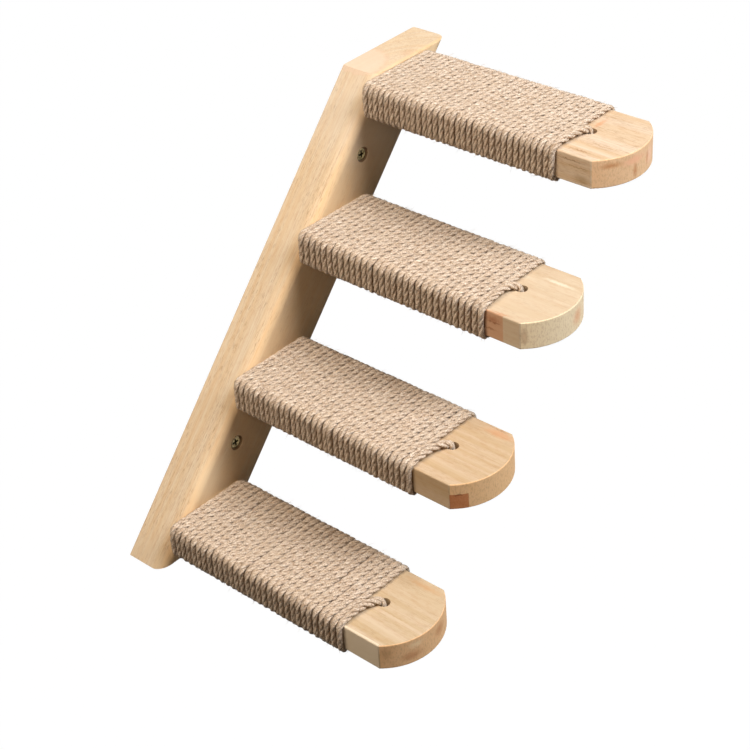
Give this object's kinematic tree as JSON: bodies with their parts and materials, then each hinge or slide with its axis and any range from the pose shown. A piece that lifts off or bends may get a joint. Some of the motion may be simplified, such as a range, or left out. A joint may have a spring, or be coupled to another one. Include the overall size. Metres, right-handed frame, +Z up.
{
  "type": "cat climbing wall",
  "caption": "Leaning wooden wall rail with round-tipped cat treads wound in plant-fibre rope, each rope tucked into a hole near the tip.",
  "frame": {"origin": "centre of the rail's back face, where it lies on the wall", "axes": "+X to the right along the wall, towards the side that the rail leans to; +Y into the wall; +Z up. The treads reach along -Y."},
  "size_m": [0.3548, 0.2694, 0.2952],
  "materials": {
    "pine": "smooth, unvarnished",
    "rope": "twisted plant fibre",
    "screw_steel": "yellow passivated"
  },
  "bodies": {
    "root": {"wall_rail": "pine", "tread_1": "pine", "tread_2": "pine", "tread_3": "pine", "tread_4": "pine", "rope_wrap_1": "rope", "rope_wrap_2": "rope", "rope_wrap_3": "rope", "rope_wrap_4": "rope", "tread_screw_1_left": "screw_steel", "tread_screw_1_right": "screw_steel", "tread_screw_2_left": "screw_steel", "tread_screw_2_right": "screw_steel", "tread_screw_3_left": "screw_steel", "tread_screw_3_right": "screw_steel", "tread_screw_4_left": "screw_steel", "tread_screw_4_right": "screw_steel", "wall_screw_upper": "screw_steel", "wall_screw_lower": "screw_steel"}
  },
  "joints": []
}
